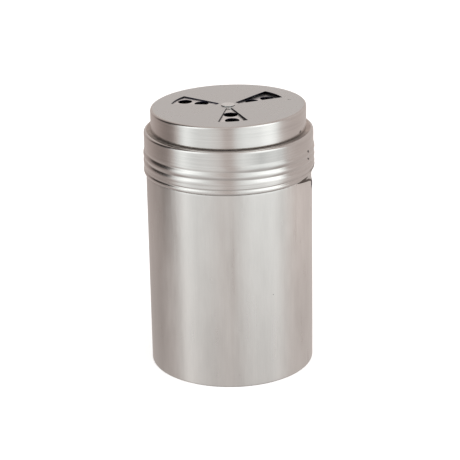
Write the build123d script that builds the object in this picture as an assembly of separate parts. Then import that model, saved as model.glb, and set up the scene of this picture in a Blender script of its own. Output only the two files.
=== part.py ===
from build123d import *
import math
import os

# Stainless steel spice tin: a straight can with a threaded neck, a screw lid
# with a raised perforated deck, and a dial cap with three windows that turns on
# a centre rivet. Millimetres, +Z up, origin at the centre of the base.
# Azimuth is measured from -Y (the front) towards +X.

# ---- driving dimensions -------------------------------------------------
# can
R_CAN = 31.5           # outside radius of the can
T_CAN = 0.3            # can sheet
Z_CAN_TOP = 76.8       # trimmed top edge of the can
R_CORNER = 0.7         # base corner, outside
R_FOOT = 28.4          # inner radius of the foot ring
H_PANEL = 0.9          # base panel is pressed up by this much
NOTCH_A0, NOTCH_A1 = 52.0, 96.0      # azimuths of the sloping relief in the top edge
# the relief's edge seen from the front: x and how far it has dropped there
NOTCH_EDGE = ((24.7, 0.0), (28.3, 1.25), (30.0, 2.15), (30.8, 3.25), (31.5, 4.8), (34.0, 9.0))
SLOT_A0, SLOT_A1 = 79.5, 87.5        # short slot in the relief
Z_SLOT = 70.2

# neck ring, fixed inside the mouth of the can
T_NECK = 0.3
R_NECK_LOW = 31.18     # outside radius inside the can
R_NECK = 30.9          # outside radius in the threaded zone
Z_NECK_BOTTOM = 66.0
Z_MOUTH = 92.5

# thread: single start, left-hand lead as seen from outside
PITCH = 2.85
Z_CREST0 = 84.1        # height of a thread crest at azimuth 0
NECK_TURNS = 2.0
LID_IN_TURNS = 2.0
LID_OUT_TURNS = 2.25

# screw lid
T_LID = 0.35
R_LID = 32.0           # outside radius of the plain band
R_BEAD = 32.4          # crest of the rolled ridge
Z_LID_BOTTOM = 76.95
Z_SHOULDER = 93.35
R_RISER = 28.6         # outside radius of the raised deck's wall
Z_DECK = 101.55        # top face of the deck at its middle
Z_DECK_RIM = 101.15    # the deck falls to this height at its rim, so that the dial bears on its middle
R_DECK_FLAT = 5.5
T_DECK = 0.4

# dial cap
T_CAP = 0.35
R_CAP = 29.33
Z_CAP_TOP = 102.0
Z_CAP_BOTTOM = 93.55
R_CAP_CORNER = 0.9
WIN_R0, WIN_R1, WIN_HALF = 4.2, 21.9, 14.6     # window radii and half angle
HOLE_BIG_D = 5.4
HOLE_BIG_R = (11.05, 18.0)
HOLE_SMALL_D = 1.6
SETTING_STEP = 40.0    # dial angle from one setting to the next
DIAL_AZ = 4.5          # azimuth of the front window and of the front pair of large holes

# rivet stack
R_SHANK = 2.0
R_RIVET_HOLE = 2.08
R_HEAD, H_HEAD = 2.7, 0.6
R_TAIL = 3.0

OUT = "parts"
os.makedirs(OUT, exist_ok=True)


def face_rz(items):
    """Closed face in the XZ half plane. Items are (r, z) points, or
    ((r, z) middle, (r, z) end) for an arc from the last point."""
    edges = []
    start = items[0]
    here = start
    for item in items[1:] + [start]:
        if isinstance(item[0], tuple):
            mid, end = item
            edges.append(ThreePointArc((here[0], 0, here[1]), (mid[0], 0, mid[1]), (end[0], 0, end[1])))
            here = end
        else:
            if abs(item[0] - here[0]) + abs(item[1] - here[1]) > 1e-9:
                edges.append(Line((here[0], 0, here[1]), (item[0], 0, item[1])))
            here = item
    return Face(Wire(edges))


def turned(items):
    return revolve(face_rz(items), Axis.Z, 360)


def arc_mid(cr, cz, radius, a0, a1):
    """Middle and end point of an arc about (cr, cz), angles in degrees in the r-z plane."""
    am = math.radians((a0 + a1) / 2)
    ae = math.radians(a1)
    return (
        (cr + radius * math.cos(am), cz + radius * math.sin(am)),
        (cr + radius * math.cos(ae), cz + radius * math.sin(ae)),
    )


def at(radius, azimuth, z=0.0):
    a = math.radians(azimuth)
    return Vector(radius * math.sin(a), -radius * math.cos(a), z)


def thread_bead(r_wall, r_tip, w_root, w_tip, z_top, az_top, turns, sink=0.12):
    """A helical rib, running down towards +azimuth from (az_top, z_top).
    It sinks a little into the wall that carries it."""
    out = 1.0 if r_tip > r_wall else -1.0
    height = PITCH * turns
    path = Helix(pitch=PITCH, height=height, radius=r_wall, lefthand=True)
    start = path @ 0
    tangent = path % 0
    plane = Plane(origin=start, x_dir=Vector(out, 0, 0), z_dir=tangent)
    depth = abs(r_tip - r_wall)
    slope = (w_root - w_tip) / 2 / depth
    w_in = w_root / 2 + slope * sink
    section = plane * make_face(Polyline(
        (-sink, -w_in), (depth, -w_tip / 2), (depth, w_tip / 2), (-sink, w_in), (-sink, -w_in)))
    rib = sweep(section, path=path, is_frenet=True)
    # the helix starts at +X and climbs clockwise; turn it so its top end is at az_top
    # azimuth of +X is 90; the top end's azimuth before turning is 90 - 360 * turns
    turn = az_top - (90.0 - 360.0 * turns)
    return Pos(0, 0, z_top - height) * (Rot(0, 0, turn) * rib)


def crest_z(azimuth):
    return Z_CREST0 - PITCH * azimuth / 360.0


# ---- can ----------------------------------------------------------------
def make_can():
    t = T_CAN
    ri = R_CAN - t
    rc = R_CORNER
    profile = [
        (0, H_PANEL),
        (R_FOOT - 2.2, H_PANEL),
        (R_FOOT - 1.0, 0.0),
        (R_CAN - rc, 0.0),
        arc_mid(R_CAN - rc, rc, rc, -90, 0),
        (R_CAN, Z_CAN_TOP),
        (ri, Z_CAN_TOP),
        (ri, rc),
        arc_mid(R_CAN - rc, rc, rc - t, 0, -90),
        (R_FOOT - 0.85, t),
        (R_FOOT - 2.05, H_PANEL + t),
        (0, H_PANEL + t),
    ]
    can = turned(profile)
    # sloping relief in the top edge, bounded by a radial step at its far end
    edge = [(x, 0, Z_CAN_TOP - drop) for x, drop in NOTCH_EDGE]
    edge += [(34.0, 0, Z_CAN_TOP + 20), (24.7, 0, Z_CAN_TOP + 20), edge[0]]
    block = extrude(make_face(Polyline(*edge)), 45, both=True)
    p0, p1 = at(60, NOTCH_A0 - 12), at(60, NOTCH_A1)
    mid = at(60, (NOTCH_A0 + NOTCH_A1) / 2)
    sector = extrude(make_face(Polyline(
        (0, 0), (p0.X, p0.Y), (mid.X * 1.3, mid.Y * 1.3), (p1.X, p1.Y), (0, 0))), 100)
    q0, q1 = at(60, SLOT_A0), at(60, SLOT_A1)
    slot = Pos(0, 0, Z_SLOT) * extrude(make_face(Polyline((0, 0), (q0.X, q0.Y), (q1.X, q1.Y), (0, 0))), 20)
    return can - (block & sector) - slot


# ---- neck ring ------------------------------------------------------------
def make_neck():
    t = T_NECK
    lip = 0.45
    profile = [
        (R_NECK_LOW, Z_NECK_BOTTOM),
        (R_NECK_LOW, Z_CAN_TOP + 0.6),
        (R_NECK, Z_CAN_TOP + 1.1),
        (R_NECK, Z_MOUTH - lip),
        arc_mid(R_NECK - lip, Z_MOUTH - lip, lip, 0, 90),
        arc_mid(R_NECK - lip, Z_MOUTH - lip, lip, 90, 180),
        arc_mid(R_NECK - lip, Z_MOUTH - lip, lip, 180, 270),
        (R_NECK - lip, Z_MOUTH - 2 * lip),
        (R_NECK - t, Z_MOUTH - 2 * lip - 0.05),
        (R_NECK - t, Z_CAN_TOP + 1.15),
        (R_NECK_LOW - t, Z_CAN_TOP + 0.65),
        (R_NECK_LOW - t, Z_NECK_BOTTOM),
    ]
    ring = turned(profile)
    az = 60.0
    rib = thread_bead(R_NECK, 31.46, 1.3, 0.55, crest_z(az) + PITCH, az, NECK_TURNS)
    return ring + rib


# ---- screw lid ------------------------------------------------------------
def make_lid():
    t = T_LID
    ri = R_LID - t
    curl = 0.55
    zc = Z_LID_BOTTOM + curl
    rc = R_BEAD - curl
    rs = 1.0
    rr = R_RISER - T_DECK
    fill = 0.7
    profile = [
        (ri, Z_SHOULDER - rs),
        arc_mid(R_LID - rs, Z_SHOULDER - rs, rs - t, 0, 90),
        (rr, Z_SHOULDER - t),
        (rr, Z_DECK_RIM - T_DECK),
        (R_DECK_FLAT, Z_DECK - T_DECK),
        (0, Z_DECK - T_DECK),
        (0, Z_DECK),
        (R_DECK_FLAT, Z_DECK),
        (R_RISER - fill, Z_DECK_RIM),
        arc_mid(R_RISER - fill, Z_DECK_RIM - fill, fill, 90, 0),
        (R_RISER, Z_SHOULDER),
        (R_LID - rs, Z_SHOULDER),
        arc_mid(R_LID - rs, Z_SHOULDER - rs, rs, 90, 0),
        (R_LID, zc + curl * math.sin(math.acos((R_LID - rc) / curl))),
        arc_mid(rc, zc, curl, math.degrees(math.acos((R_LID - rc) / curl)), -90),
        (ri, Z_LID_BOTTOM),
    ]
    lid = turned(profile)
    # pour holes in the deck
    tools = []
    for k in range(3):
        for radius in HOLE_BIG_R:
            v = at(radius, 120 * k + DIAL_AZ)
            tools.append(Pos(v.X, v.Y, Z_DECK) * Cylinder(HOLE_BIG_D / 2, 3))
        base = 120 * k + SETTING_STEP + DIAL_AZ
        for radius, offsets in ((8.6, (0,)), (12.0, (-6, 6)), (15.5, (-6.5, 6.5)), (19.0, (-9, 0, 9))):
            for off in offsets:
                v = at(radius, base + off)
                tools.append(Pos(v.X, v.Y, Z_DECK) * Cylinder(HOLE_SMALL_D / 2, 3))
    tools.append(Pos(0, 0, Z_DECK) * Cylinder(R_RIVET_HOLE, 3))
    for tool in tools:
        lid = lid - tool
    az = 15.0
    outer = thread_bead(R_LID, R_BEAD, 2.0, 0.7, crest_z(az) + PITCH, az, LID_OUT_TURNS)
    az = 40.0
    inner = thread_bead(ri, 31.1, 1.2, 0.5, crest_z(az) + PITCH * 1.5, az, LID_IN_TURNS)
    return lid + outer + inner


# ---- dial cap ---------------------------------------------------------------
def window_face(r0, r1, half, azimuth):
    a, b, m = at(r0, azimuth - half), at(r1, azimuth - half), at(r1, azimuth)
    c, d, n = at(r1, azimuth + half), at(r0, azimuth + half), at(r0, azimuth)
    edges = [Line(a, b), ThreePointArc(b, m, c), Line(c, d), ThreePointArc(d, n, a)]
    return Face(Wire(edges))


def make_cap():
    t = T_CAP
    rc = R_CAP_CORNER
    ri = R_CAP - t
    profile = [
        (0, Z_CAP_TOP - t),
        (R_CAP - rc, Z_CAP_TOP - t),
        arc_mid(R_CAP - rc, Z_CAP_TOP - rc, rc - t, 90, 0),
        (ri, Z_CAP_BOTTOM + 0.15),
        (ri + 0.1, Z_CAP_BOTTOM),
        (R_CAP - 0.12, Z_CAP_BOTTOM),
        (R_CAP, Z_CAP_BOTTOM + 0.2),
        (R_CAP, Z_CAP_TOP - rc),
        arc_mid(R_CAP - rc, Z_CAP_TOP - rc, rc, 0, 90),
        (0, Z_CAP_TOP),
    ]
    cap = turned(profile)
    for k in range(3):
        face = Pos(0, 0, Z_CAP_TOP - 1.5) * window_face(WIN_R0, WIN_R1, WIN_HALF, 120 * k + DIAL_AZ)
        cap = cap - extrude(face, 3, dir=(0, 0, 1))
    return cap - Pos(0, 0, Z_CAP_TOP) * Cylinder(R_RIVET_HOLE, 3)


# ---- rivet stack --------------------------------------------------------------
Z_UNDER = Z_DECK - T_DECK              # underside of the deck
Z_SPRING = Z_UNDER - 0.03
H_SPRING, T_SPRING = 0.55, 0.22        # coned spring washer
Z_CLENCH = Z_SPRING - H_SPRING - T_SPRING - 0.02
T_CLENCH = 0.4
Z_TAIL = Z_CLENCH - T_CLENCH - 0.02


def make_rivet():
    zh = Z_CAP_TOP + 0.02
    profile = [
        (0, Z_TAIL - 0.95),
        (1.2, Z_TAIL - 0.95),
        ((R_TAIL - 0.35, Z_TAIL - 0.72), (R_TAIL, Z_TAIL - 0.05)),
        (R_TAIL, Z_TAIL),
        (R_SHANK, Z_TAIL),
        (R_SHANK, zh),
        (R_HEAD, zh),
        (R_HEAD, zh + 0.25),
        ((R_HEAD - 0.45, zh + 0.54), (R_HEAD - 1.3, zh + H_HEAD)),
        (0, zh + H_HEAD),
    ]
    return turned(profile)


def make_spring():
    z1 = Z_SPRING
    z0 = z1 - H_SPRING
    t = T_SPRING
    return turned([(R_RIVET_HOLE + 0.05, z0), (5.2, z1), (5.2, z1 - t), (R_RIVET_HOLE + 0.05, z0 - t)])


def make_clench():
    z1 = Z_CLENCH
    return turned([(R_RIVET_HOLE, z1 - T_CLENCH), (4.2, z1 - T_CLENCH), (4.2, z1), (R_RIVET_HOLE, z1)])


MAKERS = {
    "body_can": make_can,
    "neck_ring": make_neck,
    "screw_lid": make_lid,
    "dial_cap": make_cap,
    "centre_rivet": make_rivet,
    "spring_washer": make_spring,
    "clench_washer": make_clench,
}

for name, make in MAKERS.items():
    shape = make()
    solids = shape.solids()
    print(name, len(solids), "solids, volume", round(sum(s.volume for s in solids), 1), "valid", all(s.is_valid for s in solids))
    export_step(Compound(children=list(solids)) if len(solids) > 1 else solids[0], os.path.join(OUT, name + ".step"))
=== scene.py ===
import bpy
import math
import random
import numpy as np
from mathutils import Matrix, Vector, geometry


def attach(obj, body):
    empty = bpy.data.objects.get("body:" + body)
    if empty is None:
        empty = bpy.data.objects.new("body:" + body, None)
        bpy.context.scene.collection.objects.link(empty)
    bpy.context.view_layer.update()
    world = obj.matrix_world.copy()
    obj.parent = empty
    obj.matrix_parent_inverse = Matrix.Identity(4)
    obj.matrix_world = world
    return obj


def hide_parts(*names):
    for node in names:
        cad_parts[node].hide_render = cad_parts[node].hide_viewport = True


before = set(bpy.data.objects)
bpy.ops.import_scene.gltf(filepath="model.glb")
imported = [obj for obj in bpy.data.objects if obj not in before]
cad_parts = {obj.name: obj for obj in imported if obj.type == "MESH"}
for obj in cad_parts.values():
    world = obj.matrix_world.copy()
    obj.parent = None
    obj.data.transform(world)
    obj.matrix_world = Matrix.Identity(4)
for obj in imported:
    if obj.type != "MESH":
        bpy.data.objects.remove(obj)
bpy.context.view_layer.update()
random.seed(7)
rng = np.random.default_rng(7)
MM = 0.001

# ------------------------------------------------------------------ helpers
# Azimuth is measured from -Y (the front) towards +X, in degrees.


def smooth(a, b, x):
    t = np.clip((np.asarray(x, float) - a) / (b - a), 0.0, 1.0)
    return t * t * (3 - 2 * t)


def ring(radius, z, az):
    """Points (3 columns, mm) at radius and height, for azimuths in degrees."""
    a = np.radians(az)
    return np.stack([radius * np.sin(a), -radius * np.cos(a), z + 0 * a], -1)


def make_object(name, verts_mm, faces, materials, face_slots=None, sharp_deg=32):
    mesh = bpy.data.meshes.new(name)
    mesh.from_pydata([tuple(v) for v in np.asarray(verts_mm, float) * MM], [], faces)
    mesh.validate()
    for m in materials:
        mesh.materials.append(m)
    if face_slots is not None:
        mesh.polygons.foreach_set("material_index", np.asarray(face_slots, np.int32))
    mesh.polygons.foreach_set("use_smooth", np.ones(len(mesh.polygons), bool))
    mesh.set_sharp_from_angle(angle=math.radians(sharp_deg))
    mesh.update()
    obj = bpy.data.objects.new(name, mesh)
    bpy.context.scene.collection.objects.link(obj)
    return obj


def arc(cr, cz, radius, a0, a1, n):
    """n+1 points of an arc in the (r, z) plane, ends included."""
    t = np.radians(np.linspace(a0, a1, n + 1))
    return [(cr + radius * math.cos(x), cz + radius * math.sin(x)) for x in t]


def line(r0, z0, r1, z1, n):
    """n points from the start of a line, end left out."""
    return [(r0 + (r1 - r0) * i / n, z0 + (z1 - z0) * i / n) for i in range(n)]


class Sheet:
    """Collects vertices and faces of one closed piece."""

    def __init__(self):
        self.v, self.f, self.slot = [], [], []
        self.count = 0

    def add(self, pts):
        pts = np.asarray(pts, float)
        first = self.count
        self.v.append(pts)
        self.count += len(pts)
        return list(range(first, self.count))

    def face(self, idx, slot=0):
        self.f.append(tuple(idx))
        self.slot.append(slot)

    def band(self, ring_a, ring_b, slot=0, closed=True):
        """Quads between two rings of equal length. With ring_a below ring_b on the outside they face outwards."""
        n = len(ring_a)
        for i in range(n if closed else n - 1):
            j = (i + 1) % n
            self.face((ring_a[i], ring_a[j], ring_b[j], ring_b[i]), slot)

    def fan(self, ring_a, centre, flip=False, slot=0):
        n = len(ring_a)
        for i in range(n):
            j = (i + 1) % n
            self.face((ring_a[j], ring_a[i], centre) if flip else (ring_a[i], ring_a[j], centre), slot)

    def done(self):
        return np.concatenate(self.v), self.f, self.slot


def revolve(profile, az, slot_of=None):
    """Closed solid of revolution. profile is a list of (r, z), or of (radius array, z array) over az.
    It starts and ends on the axis, or is a closed loop when it doesn't. Listed so that the outside is on the left, going up the outer wall."""
    s = Sheet()
    rings = []
    for r, z in profile:
        if np.ndim(r) == 0 and abs(r) < 1e-9:
            rings.append(s.add([(0, 0, float(np.mean(z)))])[0])
        else:
            rings.append(s.add(ring(np.asarray(r, float) + 0 * az, np.asarray(z, float) + 0 * az, az)))
    n = len(rings)
    open_ended = isinstance(rings[0], int) and isinstance(rings[-1], int)
    for i in range(n - 1 if open_ended else n):
        a, b = rings[i], rings[(i + 1) % n]
        k = slot_of(i) if slot_of else 0
        if isinstance(a, int):
            s.fan(b, a, flip=True, slot=k)
        elif isinstance(b, int):
            s.fan(a, b, slot=k)
        else:
            s.band(a, b, slot=k)
    return s.done()


# ------------------------------------------------------------------ shapes
# The same dimensions as the design, in millimetres.
R_CAN, T_CAN, Z_CAN_TOP, R_CORNER = 31.5, 0.3, 76.8, 0.7
NOTCH_A0, NOTCH_A1 = 51.64, 96.0
NOTCH_X, NOTCH_DROP = (24.7, 28.3, 30.0, 30.8, 31.5), (0.0, 1.25, 2.15, 3.25, 4.8)
SLOT_A0, SLOT_A1, Z_SLOT = 78.4, 87.5, 70.2
Z_MOUTH = 92.5
PITCH, Z_CREST0 = 2.85, 84.1
R_LID, T_LID, R_BEAD = 32.0, 0.35, 32.4
Z_LID_BOTTOM, Z_SHOULDER = 76.95, 93.35
R_RISER, Z_DECK, Z_DECK_RIM, R_DECK_FLAT, T_DECK = 28.6, 101.55, 101.15, 5.5, 0.4
R_CAP, T_CAP, Z_CAP_TOP, Z_CAP_BOTTOM, R_CAP_CORNER = 29.33, 0.35, 102.0, 93.55, 0.9
WIN_R0, WIN_R1, WIN_HALF = 4.2, 21.9, 14.6
DIAL_AZ, SETTING_STEP = 4.5, 40.0
HOLE_RADII, HOLE_BIG_R = (11.05, 18.0), 2.7
CAP_TILT = 0.016       # the dial rocks on the deck's crown: its top lies a little higher at the right than at the left


# ---- can
def can_top(az):
    """Height of the can's trimmed top edge over azimuth (degrees in -180..180)."""
    x = R_CAN * np.sin(np.radians(az))
    inside = (az > NOTCH_A0) & (az < NOTCH_A1 + 1e-6)
    z = np.where(inside, Z_CAN_TOP - np.interp(x, NOTCH_X, NOTCH_DROP), Z_CAN_TOP)
    return z


def can_piece(materials):
    az = np.linspace(-180, 180, 721)[:-1]
    az = np.concatenate([az, [SLOT_A0 - 0.03, SLOT_A0 + 0.03, SLOT_A1 - 0.03, SLOT_A1 + 0.03, NOTCH_A1 - 0.03, NOTCH_A1 + 0.03]])
    az = np.unique(np.round(az, 4))
    top = can_top(az)
    in_slot = (az > SLOT_A0) & (az < SLOT_A1)
    top = np.where(in_slot, Z_SLOT, top)
    rc, t = R_CORNER, T_CAN
    rf = 28.4
    prof = [(0.0, 0.9)]
    prof += [(r, 0.9) for r in (3, 8, 13, 18, 22)]
    prof += [(rf - 2.6, 0.9), (rf - 2.3, 0.87), (rf - 2.0, 0.76), (rf - 1.3, 0.2), (rf - 1.05, 0.06), (rf - 0.8, 0.0)]
    prof += [(29.2, 0.0), (29.8, 0.0)]
    prof += arc(R_CAN - rc, rc, rc, -90, 0, 10)
    lip = 0.1
    z_even = 66.0  # below this height the rows are level, above it they follow the trimmed edge
    heights = [z_even * i / 34 + rc * (1 - i / 34) + 0 * az for i in range(1, 35)]
    heights += [z_even + (top - lip - z_even) * (i / 14) for i in range(1, 15)]
    for z in heights:
        prof.append((R_CAN + 0 * az, z))
    # rounded rim
    for k in range(1, 6):
        a = math.pi * k / 6
        prof.append((R_CAN - t / 2 + (t / 2) * math.cos(a) + 0 * az, top - lip + lip * math.sin(a)))
    for z in heights[::-1] + [rc + 0 * az]:
        prof.append((R_CAN - t + 0 * az, z))
    prof += arc(R_CAN - rc, rc, rc - t, 0, -90, 6)[1:]
    prof += [(29.2, t), (rf - 0.7, t), (rf - 1.2, t + 0.2), (rf - 2.0, 0.9 + t - 0.05), (rf - 2.6, 0.9 + t), (18, 0.9 + t), (8, 0.9 + t), (0.0, 0.9 + t)]
    v, f, s = revolve(prof, az)
    # the slot's cut sides, in the near-black painted shade
    for i, face in enumerate(f):
        c = v[list(face)].mean(0)
        a = math.degrees(math.atan2(c[0], -c[1]))
        if min(abs(a - SLOT_A0), abs(a - SLOT_A1)) < 0.031 and c[2] > Z_SLOT - 0.3 and math.hypot(c[0], c[1]) > 31.0:
            s[i] = 1
    return make_object("can_shell", v, f, materials, s)


def lip_rise(az):
    """The lid's lower lip is lifted a little over the relief."""
    return (0.5 * smooth(50, 62, az) + 0.6 * smooth(67, 75, az)) * (1 - smooth(96, 110, az))


# ---- neck ring
def neck_piece(materials):
    az = np.linspace(-180, 180, 721)[:-1]
    t, lip = 0.3, 0.45
    z_mouth = Z_MOUTH
    theta0 = np.mod(az, 360.0)

    def outer(z):
        r = np.where(z < 77.5, 31.18, 31.18 - 0.28 * smooth(77.5, 78.0, z)) + 0 * az
        add = np.zeros_like(az)
        for k in range(-1, 5):
            th = theta0 + 360 * k
            zc = Z_CREST0 + PITCH - PITCH * th / 360
            amp = smooth(60, 100, th) * (1 - smooth(740, 780, th))
            d = np.abs(z - zc)
            add = np.maximum(add, amp * (0.5 + 0.5 * np.cos(np.pi * np.clip((d - 0.12) / 0.62, 0, 1))))
        return r + 0.54 * add

    prof = [(31.18 - t, 66.0), (31.18, 66.0)]
    prof += [(31.18, z) for z in (67, 69, 70)]
    prof += [(31.18, z) for z in np.arange(70.2, 77.4, 0.15)]
    for z in np.arange(77.4, z_mouth - lip, 0.11):
        prof.append((outer(z), z + 0 * az))
    prof += arc(30.9 - lip, z_mouth - lip, lip, 0, 270, 18)
    prof += [(30.9 - t, z_mouth - 2 * lip - 0.08)]
    prof += [(30.6, z) for z in (91, 88, 84, 80, 78.1)]
    prof += [(30.88, 77.4), (30.88, 73), (30.88, 69)]
    v, f, s = revolve(prof, az)
    # painted contact shadow on the neck: along the can's trimmed edge, under the lid's lip, and in the deep gap behind
    # the slot
    for i, face in enumerate(f):
        c = v[list(face)].mean(0)
        if math.hypot(c[0], c[1]) < 31.0:
            continue
        a = math.degrees(math.atan2(c[0], -c[1]))
        edge = float(can_top(np.array([a]))[0])
        slot = SLOT_A0 - 0.6 < a < SLOT_A1 + 0.6 and c[2] < edge + 0.1
        if slot or c[2] < edge + 0.42 + 0.45 * smooth(56, 62, a) * (a < 96) or 76.25 < c[2] - lip_rise(a) + 0.5 * smooth(50, 62, a) < 78.2:
            s[i] = 1
    return make_object("threaded_neck", v, f, materials, s)


# ---- screw lid
N_AZ = 720


def ridge(az, z, first=86.95, fade=(-20, 18)):
    """0..1, the rolled ridge that winds down to the right from the thread's start, at one height for all azimuths."""
    th0 = np.mod(az, 360.0)
    out = np.zeros_like(az)
    sag = 0.38 * smooth(-15, -48, az) * (1 - smooth(-75, -110, az))
    for k in range(-1, 5):
        th = th0 + 360 * k
        zc = first - PITCH * th / 360 - sag
        amp = smooth(fade[0], fade[1], th) * smooth(79.2, 80.2, zc)
        d = np.clip(np.abs(z - zc) / (PITCH / 2), 0, 1)
        b = (0.5 + 0.5 * np.cos(np.pi * d)) ** 0.62
        out = np.maximum(out, amp * b)
    return out


def skirt_outer(az, z):
    base = 32.0 + 0.27 * smooth(81.5, 79.9, z)
    r = base + (R_BEAD - 0.01 - base) * ridge(az, z)
    r = r - 0.2 * np.exp(-((z - 78.85) / 0.36) ** 2)
    # the first turn is rolled in above the ridge as a shallow groove
    th = np.mod(az + 160, 360.0) + 200
    zg = 86.95 - PITCH * th / 360 + 1.62 - 0.3 * smooth(-15, -48, az) * (1 - smooth(-75, -110, az))
    r = r - 0.11 * smooth(205, 290, th) * (1 - smooth(335, 372, th)) * np.exp(-((z - zg) / 0.4) ** 2)
    return r


def skirt_inner(az, z):
    th0 = np.mod(az, 360.0)
    add = np.zeros_like(az)
    for k in range(-1, 5):
        th = th0 + 360 * k
        zc = Z_CREST0 + 1.5 * PITCH - PITCH * th / 360
        amp = smooth(40, 75, th) * (1 - smooth(720, 760, th))
        d = np.abs(z - zc)
        add = np.maximum(add, amp * (0.5 + 0.5 * np.cos(np.pi * np.clip((d - 0.12) / 0.56, 0, 1))))
    return (R_LID - T_LID) - 0.53 * add


def circle_points(cx, cy, r, n):
    t = np.linspace(0, 2 * np.pi, n, endpoint=False)
    return np.stack([cx + r * np.cos(t), cy + r * np.sin(t)], -1)


def deck_z(x, y):
    """Height of the deck's top face: flat in the middle, falling a little to the rim."""
    r = np.hypot(x, y)
    return Z_DECK - (Z_DECK - Z_DECK_RIM) * np.clip((r - R_DECK_FLAT) / (R_RISER - 0.7 - R_DECK_FLAT), 0, 1)


def perforated_disc(sheet, outer_top, outer_bottom, outer_xy, holes, z_top, thick, wall_slot, face_slot):
    """Fills both faces of a disc whose outer rings exist already, round its holes, and adds the holes' walls."""
    coords = [Vector((float(x), float(y))) for x, y in outer_xy]
    edges = [(i, (i + 1) % len(coords)) for i in range(len(coords))]
    loops = []
    for cx, cy, r, n in holes:
        first = len(coords)
        pts = circle_points(cx, cy, r, n)
        coords += [Vector((float(x), float(y))) for x, y in pts]
        edges += [(first + i, first + (i + 1) % n) for i in range(n)]
        loops.append((first, n, pts))
    # points between the holes, so that the face follows its crown
    free = []
    for rad, n in ((3.6, 36), (5.5, 48), (7.2, 60), (9.0, 60), (11.0, 72), (13.0, 90), (15.0, 90), (17.0, 108), (19.5, 120), (22.0, 144), (24.5, 180), (26.4, 240)):
        for x, y in circle_points(0, 0, rad, n):
            if all(math.hypot(x - cx, y - cy) > r + 0.35 for cx, cy, r, _ in holes):
                free.append((len(coords), x, y))
                coords.append(Vector((float(x), float(y))))
    vs, _, fs, orig, _, _ = geometry.delaunay_2d_cdt(coords, edges, [], 0, 1e-7, True)
    back = {}
    for i, o in enumerate(orig):
        back[i] = o[0]
    top_ids, bottom_ids = dict(enumerate(outer_top)), dict(enumerate(outer_bottom))
    rim = 0.07  # small break on the punched edge
    for (first, n, pts), (cx, cy, r, _) in zip(loops, holes):
        c = np.array([cx, cy])
        zt = z_top(pts[:, 0], pts[:, 1])
        inner = c + (pts - c) * (1 - rim / r)
        top = sheet.add(np.column_stack([pts, zt]))
        low = sheet.add(np.column_stack([inner, zt - rim]))
        low2 = sheet.add(np.column_stack([inner, zt - thick + 0.02]))
        bot = sheet.add(np.column_stack([pts, zt - thick]))
        for i in range(n):
            top_ids[first + i] = top[i]
            bottom_ids[first + i] = bot[i]
        # inside wall: seen from the hole's centre
        sheet.band(top, low, wall_slot)
        sheet.band(low, low2, wall_slot)
        sheet.band(low2, bot, wall_slot)
    xy = np.array([(x, y) for _, x, y in free])
    zt = z_top(xy[:, 0], xy[:, 1])
    for (k, _, _), a, b in zip(free, sheet.add(np.column_stack([xy, zt])), sheet.add(np.column_stack([xy, zt - thick]))):
        top_ids[k] = a
        bottom_ids[k] = b
    for tri in fs:
        ids = [back[i] for i in tri]
        c = sum((np.array([coords[i].x, coords[i].y]) for i in ids), np.zeros(2)) / 3
        if any((c[0] - cx) ** 2 + (c[1] - cy) ** 2 < (r * 0.999) ** 2 and all(first <= i < first + n for i in ids)
               for (first, n, _), (cx, cy, r, _) in zip(loops, holes)):
            continue
        a, b, d = (np.array([coords[i].x, coords[i].y]) for i in ids)
        if (b[0] - a[0]) * (d[1] - a[1]) - (b[1] - a[1]) * (d[0] - a[0]) < 0:
            ids = ids[::-1]
        sheet.face([top_ids[i] for i in ids], face_slot)
        sheet.face([bottom_ids[i] for i in ids[::-1]], 0)


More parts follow.
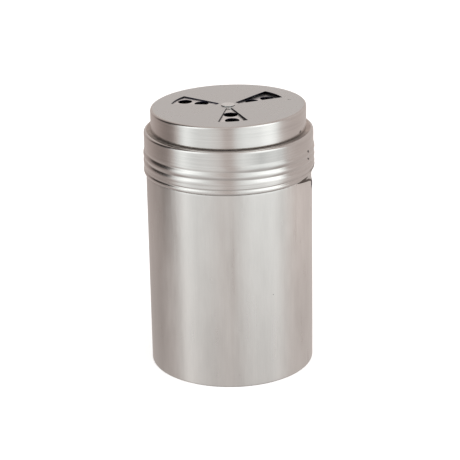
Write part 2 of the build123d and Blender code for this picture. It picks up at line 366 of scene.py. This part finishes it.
def lid_piece(materials):
    az = np.linspace(-180, 180, N_AZ + 1)[:-1]
    s = Sheet()
    rings = []

    def put(r, z):
        rings.append(s.add(ring(np.asarray(r, float) + 0 * az, np.asarray(z, float) + 0 * az, az)))

    # from the deck's underside, down inside, round the lower edge, up outside, to the deck's top
    ri = R_LID - T_LID
    rr = R_RISER - T_DECK
    rs = 1.0
    z_under = Z_DECK_RIM - T_DECK
    for r, z in arc(rr - 0.35, z_under - 0.35, 0.35, 90, 0, 4):
        put(r, z)
    for z in (99.5, 97.5, 95.5, 93.9):
        put(rr, z)
    for r, z in arc(rr + 0.3, Z_SHOULDER - T_LID + 0.3, 0.3, 180, 270, 4)[1:]:
        put(r, z)
    for r in (29.2, 30.2):
        put(r, Z_SHOULDER - T_LID)
    for r, z in arc(R_LID - rs, Z_SHOULDER - rs, rs - T_LID, 90, 0, 6):
        put(r, z)
    for z in np.arange(91.95, 77.2, -0.13):
        put(skirt_inner(az, z), z)
    rise = lip_rise(az)
    put(ri, 77.1 + rise)
    put(ri + 0.05, 76.98 + rise)
    # rolled lower edge, level all round
    for k in range(0, 15):
        a = math.radians(90 * k / 14)
        put(31.72 + 0.66 * math.sin(a), 78.0 - 1.05 * math.cos(a) + rise)
    for z in np.arange(78.12, 79.1, 0.1):
        r_bead = 31.72 + 0.66
        w = smooth(78.05, 78.65, z)
        put(r_bead * (1 - w) + skirt_outer(az, z) * w, z + rise * (1 - smooth(78.0, 79.1, z)) * (1.1 - (z - 78.0)) / 1.1)
    for z in np.arange(79.15, 92.15, 0.1):
        put(skirt_outer(az, z), z)
    for r, z in arc(R_LID - rs, Z_SHOULDER - rs, rs, 0, 90, 12):
        put(r, z)
    for r in (31.0, 30.75):
        put(r, Z_SHOULDER)
    # from r 31.0 in across the shoulder and up the riser to z 95.2 the lid takes slot 3, gap_shadow: painted shade in
    # the gap under the dial
    dark_from = len(rings) - 2
    for r in (30.2, 29.6, 29.2):
        put(r, Z_SHOULDER)
    for r, z in arc(R_RISER + 0.3, Z_SHOULDER + 0.3, 0.3, 270, 180, 4):
        put(r, z)
    for z in (94.5, 95.2):
        put(R_RISER, z)
    dark_to = len(rings) - 1
    for z in (96.5, 98.5, 100.2):
        put(R_RISER, z)
    for r, z in arc(R_RISER - 0.7, Z_DECK_RIM - 0.7, 0.7, 0, 90, 8):
        put(r, z)
    for i, (a, b) in enumerate(zip(rings[:-1], rings[1:])):
        s.band(a, b, 3 if dark_from <= i < dark_to else 0)
    rd = R_RISER - 0.7
    # inner ring of the underside at the deck's own radius, so that both faces share the plan
    under = s.add(ring(rd - 0.05, z_under + 0 * az, az))
    s.band(under, rings[0])
    deck = s.add(ring(rd - 0.05, Z_DECK_RIM + 0 * az, az))
    s.band(rings[-1], deck)
    holes = []
    for k in range(3):
        for rad in HOLE_RADII:
            a = math.radians(120 * k + DIAL_AZ)
            holes.append((rad * math.sin(a), -rad * math.cos(a), HOLE_BIG_R, 64))
        base = 120 * k + SETTING_STEP + DIAL_AZ
        for rad, offs in ((8.6, (0,)), (12.0, (-6, 6)), (15.5, (-6.5, 6.5)), (19.0, (-9, 0, 9))):
            for o in offs:
                a = math.radians(base + o)
                holes.append((rad * math.sin(a), -rad * math.cos(a), 0.8, 32))
    holes.append((0.0, 0.0, 2.1, 48))
    xy = ring(rd - 0.05, 0 * az, az)[:, :2]
    # the holes' walls take slot 1, the near-black painted shade
    perforated_disc(s, deck, under, xy, holes, deck_z, T_DECK, 1, 2)
    v, f, sl = s.done()
    return make_object("screw_lid_shell", v, f, materials, sl)


# ---- dial cap
def cap_lift(r, az):
    """How far the dial's top stands above or below its nominal plane."""
    x = r * np.sin(np.radians(az))
    d = np.abs((np.asarray(az) - 134 + 180) % 360 - 180)
    swell = 0.14 * np.exp(-(d / 30.0) ** 2) * smooth(6, 17, r) * (1 - smooth(22.5, 28.0, r))
    return np.where(x > 0, 1.3, 1.0) * CAP_TILT * x + swell


def cap_piece(materials):
    edges = []
    for k in range(3):
        c = 120 * k + DIAL_AZ
        edges += [(c - WIN_HALF) % 360, (c + WIN_HALF) % 360]
    edges = sorted(edges)
    az = []
    for i, a in enumerate(edges):
        b = edges[(i + 1) % 6] + (360 if i == 5 else 0)
        n = int(round((b - a) * 2))
        az += [a + (b - a) * j / n for j in range(n)]
    az = np.array(az)
    n = len(az)
    in_window = np.zeros(n, bool)  # cell from az[i] to az[i+1]
    for i in range(n):
        mid = az[i] + ((az[(i + 1) % n] - az[i]) % 360) / 2
        for k in range(3):
            d = abs((mid - (120 * k + DIAL_AZ) + 180) % 360 - 180)
            if d < WIN_HALF:
                in_window[i] = True
    s = Sheet()
    t, rc = T_CAP, R_CAP_CORNER
    hole = 2.1
    # top face radii, centre outwards
    radii = [hole, 2.6, 3.1, 3.6, WIN_R0] + list(np.linspace(WIN_R0, WIN_R1, 26)[1:]) + [22.6, 23.6, 24.8, 26.0, 27.2, R_CAP - rc]
    i0, i1 = radii.index(WIN_R0), 4 + 25
    top, low = [], []
    for r in radii:
        dz = cap_lift(r, az)
        top.append(s.add(ring(r + 0 * az, Z_CAP_TOP + dz, az)))
        low.append(s.add(ring(r + 0 * az, Z_CAP_TOP - t + dz, az)))
    for j in range(len(radii) - 1):
        for i in range(n):
            if i0 <= j < i1 and in_window[i]:
                continue
            k = (i + 1) % n
            s.face((top[j][i], top[j + 1][i], top[j + 1][k], top[j][k]), 2)
            s.face((low[j][i], low[j][k], low[j + 1][k], low[j + 1][i]))
    # window walls take slot 1, the near-black painted shade, except the inner arc walls, which stay steel
    for i in range(n):
        k = (i + 1) % n
        if in_window[i]:
            s.face((top[i0][i], top[i0][k], low[i0][k], low[i0][i]), 0)
            s.face((top[i1][k], top[i1][i], low[i1][i], low[i1][k]), 1)
        if in_window[i] and not in_window[i - 1]:
            for j in range(i0, i1):
                s.face((top[j][i], top[j + 1][i], low[j + 1][i], low[j][i]), 1)
        if in_window[i - 1] and not in_window[i]:
            for j in range(i0, i1):
                s.face((top[j + 1][i], top[j][i], low[j][i], low[j + 1][i]), 1)
    # rivet hole wall, in the near-black painted shade
    for i in range(n):
        k = (i + 1) % n
        s.face((top[0][i], top[0][k], low[0][k], low[0][i]), 1)
    # corner, side wall, lower edge and back up inside
    prof = arc(R_CAP - rc, Z_CAP_TOP - rc, rc, 90, 0, 14)[1:]
    zb = Z_CAP_BOTTOM
    prof += [(R_CAP, z) for z in (100.3, 99.3, 98.2, 97.1, 96.0, zb + 0.9, zb + 0.62)]
    prof += [(R_CAP - 0.004, zb + 0.4), (R_CAP - 0.015, zb + 0.2), (R_CAP - 0.045, zb + 0.08), (R_CAP - 0.1, zb + 0.02), (R_CAP - t / 2, zb), (R_CAP - t + 0.07, zb + 0.03), (R_CAP - t, zb + 0.12)]
    prof += [(R_CAP - t, z) for z in (95.5, 97, 99, 100.3)]
    prof += arc(R_CAP - rc, Z_CAP_TOP - rc, rc - t, 0, 90, 8)[:-1]
    zt = Z_CAP_TOP - rc
    rings = [top[-1]] + [s.add(ring(r + 0 * az, z + cap_lift(r, az) * min(1.0, (z - zb) / (zt - zb)), az)) for r, z in prof] + [low[-1]]
    for a, b in zip(rings[:-1], rings[1:]):
        for i in range(n):
            k = (i + 1) % n
            s.face((a[i], b[i], b[k], a[k]))
    v, f, sl = s.done()
    used = np.zeros(len(v), bool)
    for face in f:
        for i in face:
            used[i] = True
    remap = np.cumsum(used) - 1
    f = [tuple(int(remap[i]) for i in face) for face in f]
    return make_object("dial_cap_shell", v[used], f, materials, sl)


# ---- rivet
def rivet_piece(materials):
    az = np.linspace(-180, 180, 145)[:-1]
    zh = Z_CAP_TOP + 0.02
    z_under = Z_DECK - T_DECK
    z_clench = z_under - 0.03 - 0.55 - 0.22 - 0.02
    z_tail = z_clench - 0.4 - 0.02
    prof = [(0.0, z_tail - 0.95), (0.5, z_tail - 0.95), (1.1, z_tail - 0.94), (1.7, z_tail - 0.88), (2.3, z_tail - 0.68), (2.7, z_tail - 0.38), (2.82, z_tail - 0.15), (2.75, z_tail), (2.0, z_tail)]
    prof += [(2.0, z_tail + 1.0), (2.0, z_under), (2.0, Z_DECK), (2.0, zh - 0.3), (2.0, zh + 0.05)]
    under = len(prof)
    prof += [(2.3, zh + 0.05), (2.45, zh + 0.06), (2.55, zh + 0.1), (2.6, zh + 0.17)]
    side = len(prof)
    prof += [(2.6, zh + 0.2), (2.57, zh + 0.25), (2.5, zh + 0.29), (2.4, zh + 0.315), (2.2, zh + 0.33), (1.7, zh + 0.34), (1.0, zh + 0.345), (0.0, zh + 0.345)]
    # the head's underside and lower edge take slot 1, rivet_under_shade: painted shade under the head
    v, f, sl = revolve(prof, az, slot_of=lambda i: 1 if under - 1 <= i < side else 0)
    return make_object("rivet", v, f, materials, sl)


# ------------------------------------------------------------------ materials
def nodes_of(name):
    mat = bpy.data.materials.new(name)
    mat.use_nodes = True
    nt = mat.node_tree
    nt.nodes.clear()
    return mat, nt


def add(nt, kind, **props):
    n = nt.nodes.new(kind)
    for k, v in props.items():
        setattr(n, k, v)
    return n


def noise(nt, vec, scale, detail=2.0, rough=0.5, dims="3D"):
    mp = add(nt, "ShaderNodeMapping")
    mp.inputs["Scale"].default_value = scale
    nt.links.new(vec, mp.inputs["Vector"])
    nz = add(nt, "ShaderNodeTexNoise", noise_dimensions=dims)
    nz.inputs["Scale"].default_value = 1.0
    nz.inputs["Detail"].default_value = detail
    nz.inputs["Roughness"].default_value = rough
    nt.links.new(mp.outputs["Vector"], nz.inputs["Vector"])
    return nz.outputs["Fac"]


def math_node(nt, op, a, b=None, clamp=False):
    m = add(nt, "ShaderNodeMath", operation=op, use_clamp=clamp)
    for i, x in enumerate((a, b)):
        if x is None:
            continue
        if isinstance(x, (int, float)):
            m.inputs[i].default_value = x
        else:
            nt.links.new(x, m.inputs[i])
    return m.outputs[0]


def remap(nt, x, a0, a1, b0, b1):
    m = add(nt, "ShaderNodeMapRange")
    for i, v in zip(("From Min", "From Max", "To Min", "To Max"), (a0, a1, b0, b1)):
        m.inputs[i].default_value = v
    nt.links.new(x, m.inputs["Value"])
    return m.outputs["Result"]


def mix_rgb(nt, fac, a, b, blend="MIX"):
    m = add(nt, "ShaderNodeMix", data_type="RGBA", blend_type=blend)
    for name, x in (("Factor", fac), ("A", a), ("B", b)):
        sock = [i for i in m.inputs if i.name == name and (i.type == "RGBA" if name != "Factor" else i.type == "VALUE")][0]
        if isinstance(x, (int, float, tuple)):
            sock.default_value = x
        else:
            nt.links.new(x, sock)
    return [o for o in m.outputs if o.type == "RGBA"][0]


def steel(name, color, rough, aniso, grain, bump=0.05, streak=0.06, mottle=0.0, spots=(), painted_reflection_patches=(), fade=None):
    """Stainless steel. grain 'round': fine lines round the axis; 'up': along the axis; 'flat': fine all-over satin.
    spots: (x, y, z, radius) in mm, small dark marks. patches: painted reflection, broad lighter or darker areas on the
    front half standing in for reflected light and shade, (four x, four z, gain): the gain fades in between the first
    two and out between the last two.
    fade: (y0, y1, gain), the gain that the tone reaches from y0 back to y1."""
    mat, nt = nodes_of(name)
    out = add(nt, "ShaderNodeOutputMaterial")
    b = add(nt, "ShaderNodeBsdfPrincipled")
    nt.links.new(b.outputs["BSDF"], out.inputs["Surface"])
    b.inputs["Metallic"].default_value = 1.0
    tc = add(nt, "ShaderNodeTexCoord")
    obj = tc.outputs["Object"]
    if grain == "round":
        fine = noise(nt, obj, (60, 60, 9000), 3.0, 0.6)
        coarse = noise(nt, obj, (25, 25, 1600), 2.0, 0.6)
    elif grain == "up":
        fine = noise(nt, obj, (5000, 5000, 110), 3.0, 0.6)
        coarse = noise(nt, obj, (900, 900, 22), 2.0, 0.6)
    else:
        fine = noise(nt, obj, (5200, 5200, 5200), 3.0, 0.6)
        coarse = noise(nt, obj, (420, 420, 420), 3.0, 0.6)
    wide = noise(nt, obj, (210, 210, 62) if grain == "up" else (110, 110, 70), 3.0, 0.55)
    tone = math_node(nt, "ADD", remap(nt, fine, 0.3, 0.7, -streak, streak), remap(nt, coarse, 0.3, 0.7, -streak * 0.8, streak * 0.8))
    tone = math_node(nt, "ADD", tone, remap(nt, wide, 0.3, 0.7, -mottle, mottle))
    tone = math_node(nt, "ADD", tone, 1.0)
    if painted_reflection_patches:
        xyz = add(nt, "ShaderNodeSeparateXYZ")
        nt.links.new(obj, xyz.inputs[0])
    for px, pz, gain in painted_reflection_patches:
        mask = remap(nt, xyz.outputs["Y"], -0.002, 0.002, 1.0, 0.0)
        for axis, q in (("X", px), ("Z", pz)):
            for lo, hi, v0, v1 in ((q[0], q[1], 0.0, 1.0), (q[2], q[3], 1.0, 0.0)):
                mask = math_node(nt, "MULTIPLY", mask, remap(nt, xyz.outputs[axis], lo * MM, hi * MM, v0, v1))
        tone = math_node(nt, "MULTIPLY", tone, math_node(nt, "ADD", math_node(nt, "MULTIPLY", mask, gain - 1.0), 1.0))
    if fade:
        dep = add(nt, "ShaderNodeSeparateXYZ")
        nt.links.new(obj, dep.inputs[0])
        tone = math_node(nt, "MULTIPLY", tone, remap(nt, dep.outputs["Y"], fade[0] * MM, fade[1] * MM, 1.0, fade[2]))
    vm = add(nt, "ShaderNodeVectorMath", operation="SCALE")
    vm.inputs[0].default_value = color
    nt.links.new(tone, vm.inputs["Scale"])
    col = vm.outputs["Vector"]
    rg = math_node(nt, "ADD", remap(nt, coarse, 0.3, 0.7, rough * 0.88, rough * 1.12), remap(nt, wide, 0.3, 0.7, -rough * 0.1, rough * 0.1))
    for x, y, z, r in spots:
        d = add(nt, "ShaderNodeVectorMath", operation="DISTANCE")
        nt.links.new(obj, d.inputs[0])
        d.inputs[1].default_value = (x * MM, y * MM, z * MM)
        wob = math_node(nt, "ADD", d.outputs["Value"], remap(nt, noise(nt, obj, (2600, 2600, 2600)), 0.3, 0.7, -r * 0.4 * MM, r * 0.4 * MM))
        fac = remap(nt, wob, r * 0.75 * MM, r * 1.15 * MM, 1.0, 0.0)
        col = mix_rgb(nt, fac, col, (0.05, 0.045, 0.04, 1))
    nt.links.new(col, b.inputs["Base Color"])
    nt.links.new(rg, b.inputs["Roughness"])
    if aniso:
        b.inputs["Anisotropic"].default_value = aniso
        tg = add(nt, "ShaderNodeTangent", direction_type="RADIAL", axis="Z")
        nt.links.new(tg.outputs["Tangent"], b.inputs["Tangent"])
    h = math_node(nt, "ADD", math_node(nt, "MULTIPLY", fine, 0.35), math_node(nt, "MULTIPLY", coarse, 0.65))
    bp = add(nt, "ShaderNodeBump")
    bp.inputs["Strength"].default_value = 1.0
    bp.inputs["Distance"].default_value = bump * MM
    nt.links.new(h, bp.inputs["Height"])
    bp2 = add(nt, "ShaderNodeBump")
    bp2.inputs["Strength"].default_value = 1.0
    bp2.inputs["Distance"].default_value = 0.10 * MM if mottle else 0.02 * MM
    nt.links.new(wide, bp2.inputs["Height"])
    nt.links.new(bp.outputs["Normal"], bp2.inputs["Normal"])
    nt.links.new(bp2.outputs["Normal"], b.inputs["Normal"])
    return mat


STEEL = (0.640, 0.622, 0.606)
# small dark marks: x, y, z of the centre and the radius, mm
CAN_SPOTS = ((15.61, -27.36, 36.1, 0.20),)
CAP_SPOTS = ((26.47, -12.63, 94.75, 0.46), (26.75, -12.0, 95.0, 0.40))
TOP_SPOTS = ((22.9, 4.3, 102.4, 0.36), (23.6, 4.0, 102.4, 0.22))
LID_SPOTS = tuple((32.0 * math.sin(math.radians(a)), -32.0 * math.cos(math.radians(a)), z, r)
                  for z, r in ((87.3, 0.46), (84.35, 0.44)) for a in (65.8, 66.6))
# patches below: painted reflection, lighter and darker areas on the can's front half in place of reflected light and
# shade
m_can = steel("can_steel", STEEL, 0.32, 0.5, "up", bump=0.003, streak=0.022, mottle=0.042, spots=CAN_SPOTS,
              painted_reflection_patches=(((19, 25.5, 40, 41), (25, 62, 100, 101), 1.26), ((-41, -40, -27, -24), (-2, -1, 24, 50), 0.86),
                       ((8, 13, 20, 24), (-2, -1, 100, 101), 0.92), ((-19, -17, -14.5, -12.5), (-2, -1, 100, 101), 1.06), ((-12, -7, 13, 18), (-2, -1, 12, 34), 0.93),
                       ((-26, -24, -22, -19.5), (46, 66, 100, 101), 0.84),
                       ((-19.5, -18.2, -16.2, -14.6), (-2, -1, 100, 101), 1.045), ((-1.5, 0.8, 3.6, 5.5), (-2, -1, 100, 101), 0.975),
                       ((-12, -10.5, -8, -6), (-2, -1, 25, 40), 0.965), ((-12, -10.5, -8, -6), (35, 50, 100, 101), 1.03),
                       ((26, 28, 35, 36), (50, 65, 100, 101), 0.955), ((15, 16.4, 22.8, 24.5), (-2, -1, 50, 62), 1.033)))
m_neck = steel("neck_steel", (0.60, 0.585, 0.57), 0.30, 0.5, "round", bump=0.004, streak=0.04)
# patches below: painted reflection, a darker area on the lid's front right in place of reflected shade
m_lid = steel("lid_steel", STEEL, 0.17, 0.7, "round", bump=0.004, streak=0.055, spots=LID_SPOTS,
              painted_reflection_patches=(((5, 11.5, 18, 22.5), (84, 87.5, 92.3, 93.0), 0.69),))
m_cap = steel("cap_steel", STEEL, 0.17, 0.7, "round", bump=0.004, streak=0.055, spots=CAP_SPOTS)
m_top = steel("cap_top_steel", (0.655, 0.680, 0.682), 0.30, 0.0, "flat", bump=0.0012, streak=0.02, mottle=0.012, spots=TOP_SPOTS)
# near-black painted shade on cut edges, hole walls and the slot's sides, standing in for the shadow in and under them
m_shade_edge = steel("cut_edge_shade", (0.020, 0.020, 0.042), 0.45, 0.0, "flat", bump=0.01, streak=0.2)
m_contact_shadow = steel("seam_shadow", (0.12, 0.10, 0.088), 0.5, 0.0, "flat", bump=0.006, streak=0.25)
# painted shade in the gap under the dial; its fade paints it lighter from y -14 mm back to -6 mm, as painted light
# where light reaches into the gap
m_gap = steel("gap_shadow", (0.33, 0.295, 0.275), 0.6, 0.0, "flat", bump=0.006, streak=0.2, fade=(-14.0, -6.0, 1.85))
# painted shade under the rivet's head
m_rivet_shade = steel("rivet_under_shade", (0.27, 0.25, 0.24), 0.45, 0.0, "flat", bump=0.004, streak=0.1)
m_rivet = steel("rivet_steel", (0.84, 0.87, 0.87), 0.28, 0.0, "flat", bump=0.002, streak=0.03)
m_washer = steel("washer_steel", (0.50, 0.49, 0.48), 0.35, 0.3, "round", bump=0.01, streak=0.08)

# ------------------------------------------------------------------ pieces
can = can_piece([m_can, m_shade_edge])
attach(can, "can"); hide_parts("body_can")
neck = neck_piece([m_neck, m_contact_shadow])
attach(neck, "can"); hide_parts("neck_ring")
# the deck's steel is lighter than the rest as painted light, offsetting the shade under the dial
m_deck = steel("deck_steel", (0.79, 0.80, 0.80), 0.31, 0.0, "flat", bump=0.0012, streak=0.02, mottle=0.012)
lid = lid_piece([m_lid, m_shade_edge, m_deck, m_gap])
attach(lid, "lid"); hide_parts("screw_lid")
cap = cap_piece([m_cap, m_shade_edge, m_top])
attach(cap, "cap"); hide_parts("dial_cap")
rivet = rivet_piece([m_rivet, m_rivet_shade])
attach(rivet, "rivet_stack"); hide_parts("centre_rivet")
for n in ("spring_washer", "clench_washer"):
    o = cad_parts[n]
    o.data.materials.clear()
    o.data.materials.append(m_washer)

# ------------------------------------------------------------------ stage
def stage_bowl():
    """Plain pale floor that sweeps up to a wall all round, far from the object."""
    az = np.linspace(-180, 180, 97)[:-1]
    s = Sheet()
    c = s.add([(0, 0, 0)])[0]
    prof = [(60, 0), (200, 0), (500, 0), (1200, 0), (2400, 0), (3000, 0)]
    prof += [(3000 + 900 * math.sin(math.radians(a)), 900 - 900 * math.cos(math.radians(a))) for a in range(10, 91, 10)]
    prof += [(3900, 2500)]
    rings = [s.add(ring(r, z + 0 * az, az)) for r, z in prof]
    s.fan(rings[0], c)
    for a, b in zip(rings[:-1], rings[1:]):
        for i in range(len(az)):
            k = (i + 1) % len(az)
            s.face((a[i], b[i], b[k], a[k]))
    v, f, _ = s.done()
    mat, nt = nodes_of("stage_paper")
    out = add(nt, "ShaderNodeOutputMaterial")
    d = add(nt, "ShaderNodeBsdfDiffuse")
    d.inputs["Color"].default_value = (0.86, 0.86, 0.86, 1)
    e = add(nt, "ShaderNodeEmission")
    e.inputs["Color"].default_value = (1, 1, 1, 1)
    e.inputs["Strength"].default_value = 0.55
    a = add(nt, "ShaderNodeAddShader")
    nt.links.new(d.outputs[0], a.inputs[0])
    nt.links.new(e.outputs[0], a.inputs[1])
    nt.links.new(a.outputs[0], out.inputs["Surface"])
    o = make_object("stage_floor", v, f, [mat])
    return o


floor = stage_bowl()
floor.visible_glossy = False
floor.visible_diffuse = False
floor.visible_shadow = False

def floor_card():
    """A pale card under the tin, for reflections alone: it lifts the reflections towards the base."""
    az = np.linspace(-180, 180, 97)[:-1]
    s = Sheet()
    c = s.add([(0, 0, -0.5)])[0]
    rings = [s.add(ring(r, -0.5 + 0 * az, az)) for r in (40, 80, 140, 220, 320)]
    s.fan(rings[0], c)
    for a, b in zip(rings[:-1], rings[1:]):
        for i in range(len(az)):
            k = (i + 1) % len(az)
            s.face((a[i], b[i], b[k], a[k]))
    v, f, _ = s.done()
    mat, nt = nodes_of("floor_card_paper")
    out = add(nt, "ShaderNodeOutputMaterial")
    e = add(nt, "ShaderNodeEmission")
    e.inputs["Color"].default_value = (*tint(CARD)[:3], 1)
    e.inputs["Strength"].default_value = 1.0
    tr = add(nt, "ShaderNodeBsdfTransparent")
    tc = add(nt, "ShaderNodeTexCoord")
    ln = add(nt, "ShaderNodeVectorMath", operation="LENGTH")
    nt.links.new(tc.outputs["Object"], ln.inputs[0])
    fac = remap(nt, ln.outputs["Value"], 0.03, CARD_FADE, CARD_MAX, 0.0)
    mx = add(nt, "ShaderNodeMixShader")
    nt.links.new(fac, mx.inputs[0])
    nt.links.new(tr.outputs[0], mx.inputs[1])
    nt.links.new(e.outputs[0], mx.inputs[2])
    nt.links.new(mx.outputs[0], out.inputs["Surface"])
    return make_object("floor_card", v, f, [mat])


def tint(v):
    """Dark parts of the room are warm, the softboxes are neutral."""
    w = min(max((1.0 - v) / 0.65, 0.0), 1.0)
    return (v * (0.965 + 0.24 * w), v, v * (0.995 - 0.07 * w), 1.0)


CARD, CARD_FADE, CARD_MAX = 0.68, 0.33, 0.55
card = floor_card()
card.visible_camera = False
card.visible_diffuse = False
card.visible_shadow = False

# ------------------------------------------------------------------ studio light
world = bpy.data.worlds.new("studio")
bpy.context.scene.world = world
world.use_nodes = True
wt = world.node_tree
wt.nodes.clear()
w_out = add(wt, "ShaderNodeOutputWorld")
bg = add(wt, "ShaderNodeBackground")
wt.links.new(bg.outputs[0], w_out.inputs["Surface"])
wtc = add(wt, "ShaderNodeTexCoord")
sep = add(wt, "ShaderNodeSeparateXYZ")
wt.links.new(wtc.outputs["Generated"], sep.inputs[0])
neg_y = math_node(wt, "MULTIPLY", sep.outputs["Y"], -1.0)
az_w = math_node(wt, "ARCTAN2", sep.outputs["X"], neg_y)
az_f = remap(wt, az_w, -math.pi, math.pi, 0.0, 1.0)
el_w = math_node(wt, "ARCSINE", sep.outputs["Z"])
el_f = remap(wt, el_w, -math.pi / 2, math.pi / 2, 0.0, 1.0)


def ramp(nt, fac, stops, interpolation="LINEAR"):
    r = add(nt, "ShaderNodeValToRGB")
    r.color_ramp.interpolation = interpolation
    el = r.color_ramp.elements
    while len(el) > 1:
        el.remove(el[-1])
    el[0].position = stops[0][0]
    el[0].color = stops[0][1]
    for p, c in stops[1:]:
        e = el.new(p)
        e.color = c
    nt.links.new(fac, r.inputs["Fac"])
    return r.outputs["Color"]


# light seen low in the room, round the horizon, by azimuth; and the same directions higher up
AZ = [(-180, 0.56), (-150, 0.48), (-128, 0.38), (-114, 0.29), (-98, 0.24), (-89, 0.28), (-82, 0.56), (-74, 1.0), (-66, 1.36),
      (-58, 1.18), (-50, 1.0), (-40, 0.94), (-31, 0.97), (-22, 0.88), (-13, 0.83), (-5, 0.55), (4, 0.55), (11, 0.93), (17, 1.05),
      (26, 1.18), (40, 1.2), (47, 1.23), (55, 1.45), (66, 1.52), (74, 1.27), (82, 0.70), (92, 0.58), (105, 0.54), (140, 0.56),
      (160, 0.58), (180, 0.56)]
AZ_HIGH = [(-180, 0.60), (-150, 0.56), (-134, 0.38), (-120, 0.05), (-88, 0.03), (-83, 0.35), (-77, 1.15), (-62, 1.8), (-45, 1.4),
           (-30, 0.98), (-15, 0.72), (-5, 0.54), (5, 0.54), (14, 0.95), (30, 1.3), (45, 1.75), (70, 1.95), (77, 1.2), (83, 0.45),
           (92, 0.54), (115, 0.60), (135, 0.60), (160, 0.6), (180, 0.6)]
az_low = ramp(wt, az_f, [((a + 180) / 360, tint(v)) for a, v in AZ])
az_high = ramp(wt, az_f, [((a + 180) / 360, tint(v)) for a, v in AZ_HIGH])
up_fac = ramp(wt, el_f, [((e + 90) / 180, (v, v, v, 1)) for e, v in ((-10, 0.0), (8, 1.0))], "EASE")
top_fac = ramp(wt, el_f, [((e + 90) / 180, (v, v, v, 1)) for e, v in ((56, 0.0), (76, 1.0))], "EASE")
down = ramp(wt, el_f, [((e + 90) / 180, (v, v, v, 1)) for e, v in ((-90, 0.30), (-60, 0.42), (-42, 0.75), (-26, 1.0))])
room = mix_rgb(wt, up_fac, az_low, az_high)
room = mix_rgb(wt, top_fac, room, tint(0.64))
env = mix_rgb(wt, 1.0, room, down, "MULTIPLY")
wt.links.new(env, bg.inputs["Color"])
bg.inputs["Strength"].default_value = 1.0

# ------------------------------------------------------------------ camera
cam_data = bpy.data.cameras.new("camera")
cam = bpy.data.objects.new("camera", cam_data)
bpy.context.scene.collection.objects.link(cam)
bpy.context.scene.camera = cam
D, ZC, PITCH_C, ROLL, F_PX = 639.49, 287.18, 0.3524, -0.0185, 1769.67
fw = np.array([0, math.cos(PITCH_C), -math.sin(PITCH_C)])
right = np.array([1.0, 0, 0])
up = np.cross(right, fw)
r2 = right * math.cos(ROLL) + up * math.sin(ROLL)
u2 = -right * math.sin(ROLL) + up * math.cos(ROLL)
m = Matrix.Identity(4)
for i in range(3):
    m[i][0], m[i][1], m[i][2] = r2[i], u2[i], -fw[i]
m[0][3], m[1][3], m[2][3] = -0.13 * MM, -D * MM, ZC * MM
cam.matrix_world = m
cam_data.sensor_width = 36.0
cam_data.sensor_fit = "HORIZONTAL"
cam_data.lens = F_PX * 36.0 / 460.0
cam_data.clip_start, cam_data.clip_end = 0.01, 20.0
cam_data.dof.use_dof = False

sc = bpy.context.scene
sc.view_settings.view_transform = "Standard"
sc.view_settings.look = "None"
sc.view_settings.exposure = 0.0
sc.view_settings.gamma = 1.0
